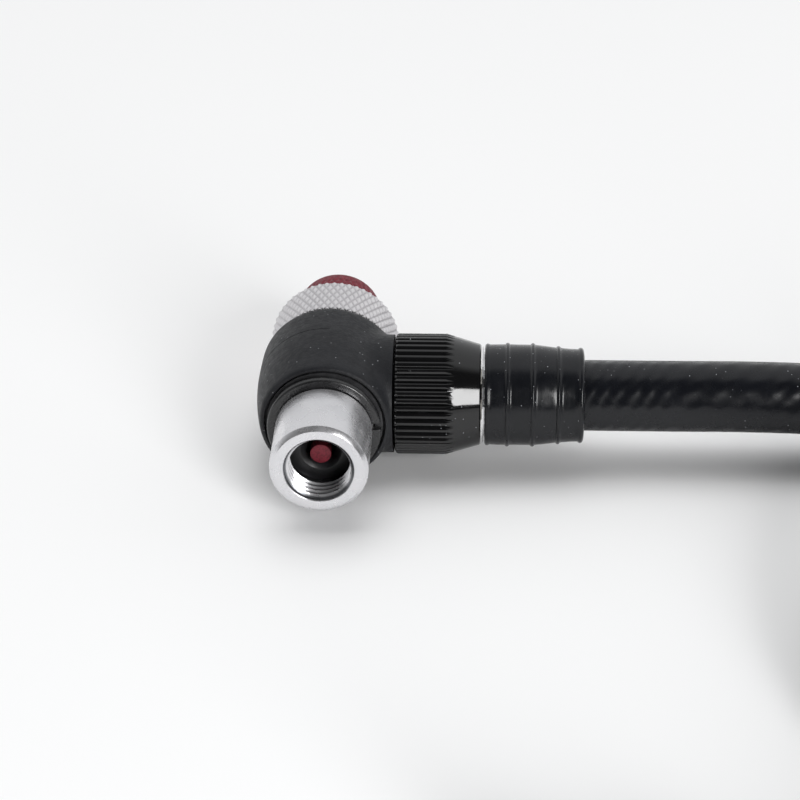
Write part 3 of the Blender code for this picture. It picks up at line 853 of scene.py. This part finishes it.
grip_silver = Finish("knurled_silver", (0.75, 0.735, 0.75), 0.5, metallic=0.6)
grip_parts = grip_silver.parts(grip_silver.mapped(shift=(-middle.x, 0, -middle.z)))
grip_out = grip_silver.from_axis(grip_parts)
# Painted shade: the knurl's grooves darken with their depth below the crests.
grip_silver.tint(
    grip_silver.spread(grip_out, (GRIP_RADIUS - GRIP_DEPTH) * MM, (GRIP_RADIUS - 0.06) * MM, 0.55, 0.0),
    (0.38, 0.365, 0.38),
)
# Painted shade: the knurl's grooves turn near-black within about 0.75 mm of the ring's front face,
# beside the barrel's rim.
grip_from_front = grip_silver.worked("SUBTRACT", grip_parts[1], middle.y + GRIP_FRONT * MM)
grip_silver.tint(
    grip_silver.worked(
        "MULTIPLY",
        grip_silver.spread(grip_out, (GRIP_RADIUS - 0.24) * MM, (GRIP_RADIUS - 0.10) * MM, 1.0, 0.0),
        grip_silver.spread(grip_from_front, 0.35 * MM, 0.75 * MM, 1.0, 0.0),
    ),
    (0.012, 0.012, 0.013),
)
grip_silver.bump(grip_silver.noise(6500.0, 3.0), 0.008)
grip_silver.rough(grip_silver.spread(grip_silver.noise(1500.0, 4.0), 0.3, 0.7, 0.36, 0.50))
grip_silver.paint(grip)
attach(grip, "sleeve")
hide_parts("knurled_grip")

# ---- Valve-core pin ----------------------------------------------------------------------------
# A slim pin turned from aluminium and anodised red. Its blunt tip presses the valve core, and the
# piston on its rear runs in the sleeve on an O-ring.
PIN_TIP = -13.8
PIN_RADIUS = 1.2
PISTON_FROM = 3.6
PISTON_TO = 6.0
PISTON_RADIUS = 2.2
PISTON_GROOVE = (4.25, 5.35, 1.4)
PIN_TAIL = 11.6
pin_outline = [
    (PIN_TIP, 0),
    (PIN_TIP, PIN_RADIUS),
    (-9.0, PIN_RADIUS),
    (-8.6, PIN_RADIUS - 0.2),
    (PISTON_FROM, PIN_RADIUS - 0.2),
    (PISTON_FROM, PISTON_RADIUS),
    (PISTON_GROOVE[0], PISTON_RADIUS),
    (PISTON_GROOVE[0], PISTON_GROOVE[2]),
    (PISTON_GROOVE[1], PISTON_GROOVE[2]),
    (PISTON_GROOVE[1], PISTON_RADIUS),
    (PISTON_TO, PISTON_RADIUS),
    (PISTON_TO, 1.0),
    (10.6, 1.0),
    (10.6, 0.7),
    (11.2, 0.7),
    (11.2, 1.0),
    (PIN_TAIL, 1.0),
    (PIN_TAIL, 0),
]
pin = shaded(eased(turned("core_pin", pin_outline, 64, "Y"), 0.07, 2, 30), 40)
red = Finish("red_anodised", (0.20, 0.016, 0.030), 0.45, metallic=0.25)
red.tint(red.spread(red.noise(3200.0, 3.0, 0.7), 0.47, 0.60, 0.0, 0.8), (0.10, 0.008, 0.015))
red.tint(red.spread(red.cells(3200.0), 0.10, 0.22, 0.9, 0.0), (0.02, 0.003, 0.005))
red.bump(red.noise(3600.0, 4.0, 0.7), 0.020)
red.rough(red.spread(red.noise(1800.0, 3.0), 0.3, 0.7, 0.38, 0.55))
red.paint(pin)
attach(pin, "pin")
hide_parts("depressor_pin")

# ---- Pin knob ----------------------------------------------------------------------------------
# The knob that drives the pin, turned from aluminium and anodised red like it. Its hollow screw
# runs in the sleeve, its skirt has a fine diamond knurl, and a pressed cap closes its rear.
KNOB_FRONT = 11.3
KNOB_REAR = 20.65
KNOB_TEETH = 40
KNOB_ROW = 0.19
KNOB_DEPTH = 0.10
KNOB_SKIRT = 13.4
SCREW_START = 7.9
SCREW_RADIUS = 2.85
knob_rows = int((KNOB_REAR - 0.9 - KNOB_SKIRT) / KNOB_ROW)
knob_outline = [
    (SCREW_BORE_FROM, 1.2),
    (SCREW_BORE_FROM, PISTON_RADIUS - 0.05),
    (SCREW_START, PISTON_RADIUS - 0.05),
    (SCREW_START + 0.25, SCREW_RADIUS - 0.25),
    (KNOB_FRONT, SCREW_RADIUS - 0.25),
    (KNOB_FRONT, KNOB_RADIUS - 0.3),
    (KNOB_FRONT + 0.3, KNOB_RADIUS),
]
knob_outline += [(KNOB_SKIRT + KNOB_ROW * k, KNOB_RADIUS) for k in range(knob_rows + 1)]
knob_outline += [
    (KNOB_REAR - 0.22, KNOB_RADIUS),
    (KNOB_REAR - 0.06, KNOB_RADIUS - 0.07),
    (KNOB_REAR, KNOB_RADIUS - 0.22),
    (KNOB_REAR, 3.05),
    (KNOB_REAR - 0.15, 2.9),
    (KNOB_REAR - 1.2, 2.9),
    (KNOB_REAR - 1.2, 2.3),
    (10.4, 2.3),
    (10.4, 1.2),
    (SCREW_BORE_FROM, 1.2),
]
knob = turned("pin_knob", knob_outline, KNOB_TEETH * KNURL_CELL, "Y")


def knob_knurl(spot):
    if spot.y < KNOB_SKIRT - 0.01 or spot.y > KNOB_SKIRT + KNOB_ROW * knob_rows + 0.01:
        return 1
    return diamond(spot, KNOB_TEETH, KNOB_SKIRT, KNOB_ROW, KNOB_RADIUS, KNOB_DEPTH)


drawn_in(knob, knob_knurl, "Y")
knob_screw = thread_ridge(
    "knob_screw", "Y", SCREW_START + 0.55, 3.2, 0.75, SCREW_RADIUS - 0.3, SCREW_RADIUS
)
joined(knob, knob_screw)
shaded(knob, 40)
red.paint(knob)
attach(knob, "knob")
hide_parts("depressor_knob")

cap_outline = [
    (KNOB_REAR - 1.0, 0),
    (KNOB_REAR - 1.0, 2.7),
    (KNOB_REAR - 0.1, 2.7),
    (KNOB_REAR - 0.1, 2.2),
    (KNOB_REAR - 0.3, 1.9),
    (KNOB_REAR - 0.42, 0),
]
cap = shaded(eased(turned("pressed_cap", cap_outline, 72, "Y"), 0.08, 2, 25), 40)
red.paint(cap)
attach(cap, "knob")
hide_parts("knob_cap")

# ---- Union nuts --------------------------------------------------------------------------------
# A nut turned from aluminium and anodised gloss black, one at each end of the hose. Straight
# rolled flutes run from its mouth and end in points on the smooth cone of its back.
NUT_MOUTH = 7.95
NUT_RADIUS = 7.1
NUT_CONE = 13.9
NUT_BACK = 17.95
NUT_BACK_RADIUS = 5.9
NUT_BORE = 5.0
NUT_FLUTES = 48
FLUTE_DEPTH = 0.30
FLUTE_SHAPE = (0, 0.1, 0.45, 1, 0.45, 0.1)
NECK_RADIUS = 3.0
NUT_SHOULDER = 15.4


def nut_side(x):
    """Radius of the nut's outside behind its rounded mouth: a straight grip and a cone."""
    if x < NUT_CONE:
        return NUT_RADIUS
    return NUT_RADIUS + (NUT_BACK_RADIUS - NUT_RADIUS) * (x - NUT_CONE) / (NUT_BACK - NUT_CONE)


flute_end = NUT_CONE + FLUTE_DEPTH * (NUT_BACK - NUT_CONE) / (NUT_RADIUS - NUT_BACK_RADIUS)
nut_outline = [
    (NUT_MOUTH, NUT_BORE + 0.15),
    (NUT_MOUTH, NUT_RADIUS - 0.42),
    (NUT_MOUTH + 0.12, NUT_RADIUS - 0.12),
    (NUT_MOUTH + 0.35, NUT_RADIUS),
    (NUT_CONE, NUT_RADIUS),
    (flute_end, NUT_RADIUS - FLUTE_DEPTH),
    (NUT_CONE + 2.0, nut_side(NUT_CONE + 2.0)),
    (NUT_BACK - 0.15, nut_side(NUT_BACK - 0.15)),
    (NUT_BACK, NUT_BACK_RADIUS - 0.12),
    (NUT_BACK, NECK_RADIUS + 0.3),
    (NUT_SHOULDER, NECK_RADIUS + 0.3),
    (NUT_SHOULDER, NUT_BORE),
    (NUT_MOUTH + 0.15, NUT_BORE),
    (NUT_MOUTH, NUT_BORE + 0.15),
]
nut = turned("fluted_nut", nut_outline, NUT_FLUTES * len(FLUTE_SHAPE), "X")


def flute(spot):
    """How far in a point of the nut's flutes lies, as a share of its distance out."""
    out = math.hypot(spot.y, spot.z)
    if out < NUT_BACK_RADIUS + 0.3 or spot.x > NUT_CONE + 0.01:
        return 1
    columns = len(FLUTE_SHAPE)
    column = round(math.atan2(spot.y, spot.z) / math.tau * NUT_FLUTES * columns) % columns
    return min(1, (NUT_RADIUS - FLUTE_DEPTH * FLUTE_SHAPE[column]) / out)


drawn_in(nut, flute, "X")
flute_ends = [
    vertex.index
    for vertex in nut.data.vertices
    if NUT_CONE - 0.01 < (vertex.co.x - middle.x) / MM < flute_end + 0.01
    and math.hypot(vertex.co.y - middle.y, vertex.co.z - middle.z) > NUT_BACK_RADIUS * MM
]
picked(nut, flute_ends)
bpy.ops.mesh.quads_convert_to_tris(quad_method="LONGEST_DIAGONAL")
bpy.ops.object.mode_set(mode="OBJECT")
shaded(nut, 24)
gloss = Finish("gloss_black", (0.0045, 0.0045, 0.0048), 0.09, specular=0.6)
gloss.bump(gloss.noise(1.0, 2.0, place=gloss.mapped((9000, 50, 50))), 0.0016)
gloss.rough(gloss.spread(gloss.noise(700.0, 4.0), 0.35, 0.75, 0.07, 0.12))
gloss.tint(gloss.spread(gloss.noise(300.0, 3.0), 0.45, 0.8, 0.0, 0.5), (0.010, 0.010, 0.011))
gloss.dust(0.50)
gloss.paint(nut)


def copied(piece, name):
    """A copy of a piece at the pump's end of the hose, with a mesh of its own."""
    bpy.ops.object.select_all(action="DESELECT")
    piece.select_set(True)
    bpy.context.view_layer.objects.active = piece
    bpy.ops.object.duplicate()
    copy = bpy.context.active_object
    copy.name = copy.data.name = name
    copy.location = MM * Vector(PUMP_SHIFT)
    bpy.ops.object.transform_apply()
    return copy


pump_nut = copied(nut, "fluted_pump_nut")
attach(nut, "nut")
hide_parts("union_nut")
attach(pump_nut, "pump_union")
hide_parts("pump_nut")

# ---- Inserts and ferrules ----------------------------------------------------------------------
# A nickel-plated brass insert is pushed into each end of the hose, and an aluminium ferrule is
# crimped over it. Only the ferrule's flange shows, as a bright line between nut and boot.
nickel = Finish("nickel_plate", (0.62, 0.60, 0.55), 0.22, metallic=1.0)
nickel.bump(nickel.noise(1.0, 2.0, place=nickel.mapped((14000, 60, 60))), 0.004)
nickel.rough(nickel.spread(nickel.noise(600.0, 4.0), 0.3, 0.7, 0.18, 0.32))
nickel.tint(nickel.spread(nickel.noise(260.0, 4.0), 0.45, 0.8, 0.0, 0.5), (0.52, 0.50, 0.45))
nickel.paint(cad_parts["hose_insert"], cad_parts["pump_insert"])
ferrule_metal = Finish("crimped_aluminium", (0.80, 0.80, 0.81), 0.25, metallic=1.0)
ferrule_metal.bump(ferrule_metal.noise(2400.0, 3.0), 0.006)
ferrule_metal.rough(ferrule_metal.spread(ferrule_metal.noise(700.0, 4.0), 0.3, 0.7, 0.20, 0.34))
ferrule_metal.tint(
    ferrule_metal.spread(ferrule_metal.noise(300.0, 3.0), 0.45, 0.8, 0.0, 0.4), (0.62, 0.62, 0.63)
)
ferrule_metal.paint(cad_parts["hose_ferrule"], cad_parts["pump_ferrule"])
rubber.paint(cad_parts["hose_clamped_end"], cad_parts["pump_clamped_end"])

# ---- Boots -------------------------------------------------------------------------------------
# A soft rubber boot is pushed over each ferrule and the first of the free hose, to keep it from
# kinking. It narrows towards the hose, and three thin ribs run round it between rolled ends.
BOOT_START = 18.4
BOOT_BORE = 5.15
BOOT_LIP_BORE = 4.32
BOOT_STEP = 28.2
BOOT_RIBS = (21.05, 24.0, 27.0)
BOOT_RIB_HALF = 0.28
BOOT_RIB_HEIGHT = 0.20
BOOT_STATION = 0.25
BOOT_PROFILE = (
    (18.4, 5.86),
    (20.0, 5.92),
    (24.2, 5.90),
    (25.2, 5.80),
    (26.7, 5.60),
    (28.5, 5.46),
    (30.0, 5.42),
)


def boot_side(x):
    """Radius of the boot between its ribs, smooth through the stations of its profile."""
    for (x0, r0), (x1, r1) in zip(BOOT_PROFILE, BOOT_PROFILE[1:]):
        if x <= x1:
            return r0 + (r1 - r0) * (x - x0) / (x1 - x0)
    return BOOT_PROFILE[-1][1]


boot_wall = [
    (BOOT_START + 0.06, 5.86),
    (BOOT_START + 0.18, 5.97),
    (BOOT_START + 0.34, 5.99),
    (BOOT_START + 0.5, 5.93),
    (BOOT_START + 0.62, boot_side(BOOT_START + 0.62)),
]
station = BOOT_START + 0.9
while station < RELIEF_END - 1.0:
    if min(abs(rib - station) for rib in BOOT_RIBS) > BOOT_RIB_HALF + 0.12:
        boot_wall.append((station, boot_side(station)))
    station += BOOT_STATION
for rib in BOOT_RIBS:
    for step in range(9):
        share = -1 + step / 4
        rise = BOOT_RIB_HEIGHT * math.cos(share * math.pi / 2) ** 0.8
        boot_wall.append((rib + BOOT_RIB_HALF * share, boot_side(rib) + rise))
boot_outline = [
    (BOOT_START, BOOT_BORE),
    (BOOT_START, 5.72),
    *sorted(boot_wall),
    (RELIEF_END - 0.72, 5.44),
    (RELIEF_END - 0.60, 5.54),
    (RELIEF_END - 0.45, 5.62),
    (RELIEF_END - 0.28, 5.60),
    (RELIEF_END - 0.13, 5.48),
    (RELIEF_END - 0.04, 5.25),
    (RELIEF_END, 5.0),
    (RELIEF_END, BOOT_LIP_BORE + 0.1),
    (RELIEF_END - 0.1, BOOT_LIP_BORE),
    (BOOT_STEP, BOOT_LIP_BORE),
    (BOOT_STEP, BOOT_BORE),
    (BOOT_START, BOOT_BORE),
]
boot = shaded(turned("ribbed_boot", boot_outline, 112, "X"), 60)
boot_rubber = Finish("boot_rubber", (0.0055, 0.0062, 0.0080), 0.22, specular=0.40)
boot_rubber.tint(
    boot_rubber.spread(boot_rubber.noise(260.0, 4.0), 0.4, 0.75, 0.0, 0.7), (0.010, 0.0105, 0.013)
)
boot_rubber.bump(boot_rubber.noise(4200.0, 4.0, 0.6), 0.007)
boot_rubber.bump(boot_rubber.noise(420.0, 2.0), 0.030)
boot_rubber.rough(boot_rubber.spread(boot_rubber.noise(800.0, 4.0), 0.3, 0.7, 0.19, 0.28))
boot_rubber.dust(0.50)
boot_rubber.paint(boot)
pump_boot = copied(boot, "ribbed_pump_boot")
for one, node in ((boot, "hose_strain_relief"), (pump_boot, "pump_strain_relief")):
    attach(one, "hose")
    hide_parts(node)

# ---- Coil ties ---------------------------------------------------------------------------------
# Two flat loops of moulded rubber hold the turns of the spare hose on each other. Three low ribs
# run round each, and the coil rests on their undersides.
TIE_THICK = 0.6
TIE_FLAT = 0.45
TIE_HALF = HOSE_RADIUS + 0.35
TIE_CORNER = 1.4
TIE_EDGE = 4.0
TIE_RIBS = (-2.7, 0.0, 2.7)
tie_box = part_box("coil_tie_a")
tie_low, tie_high = ((corner.z - middle.z) / MM for corner in tie_box)


def strap(name, near, far, thick):
    """Closed flat loop round both turns, from one edge to the other along the hose."""
    x = TIE_HALF - TIE_CORNER
    low = tie_low + TIE_THICK + TIE_CORNER
    high = tie_high - TIE_THICK - TIE_CORNER
    spots = []
    for side, (x, z) in enumerate(((x, high), (-x, high), (-x, low), (x, low))):
        for step in range(5):
            turn = (side + step / 4) * math.pi / 2
            out = Vector((math.cos(turn), 0, math.sin(turn)))
            spots.append(MM * (Vector((x, near, z)) + TIE_CORNER * out))
    bpy.ops.object.select_all(action="DESELECT")
    bpy.ops.mesh.primitive_plane_add(size=MM)
    loop = bpy.context.active_object
    loop.name = loop.data.name = name
    bpy.ops.object.mode_set(mode="EDIT")
    bpy.ops.mesh.merge(type="CENTER")
    bpy.ops.transform.translate(value=spots[0])
    for one, two in zip(spots, spots[1:] + spots[:1]):
        bpy.ops.mesh.extrude_region_move(TRANSFORM_OT_translate={"value": two - one})
    bpy.ops.mesh.select_all(action="SELECT")
    bpy.ops.mesh.remove_doubles(threshold=0.001 * MM)
    across_hose = (0, (far - near) * MM, 0)
    bpy.ops.mesh.extrude_region_move(TRANSFORM_OT_translate={"value": across_hose})
    bpy.ops.mesh.select_all(action="SELECT")
    bpy.ops.mesh.normals_make_consistent(inside=False)
    bpy.ops.object.mode_set(mode="OBJECT")
    wall = loop.modifiers.new("wall", "SOLIDIFY")
    wall.thickness = thick * MM
    wall.offset = 1
    return eased(apply_all(loop), 0.12, 2, 50)


for node, degrees in (("coil_tie_a", 30), ("coil_tie_b", 150)):
    tie = strap("ribbed_" + node, -TIE_EDGE, TIE_EDGE, TIE_FLAT)
    for rib in TIE_RIBS:
        joined(tie, strap("rib", rib - 0.4, rib + 0.4, TIE_THICK))
    turn = math.radians(90 - degrees)
    out = Vector((math.cos(turn), math.sin(turn), 0))
    tie.rotation_euler = (0, 0, turn)
    tie.location = middle + MM * (Vector((*COIL_CENTRE, 0)) + COIL_RADIUS * out)
    bpy.ops.object.transform_apply()
    shaded(tie, 40)
    boot_rubber.paint(tie)
    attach(tie, "hose")
    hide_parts(node)
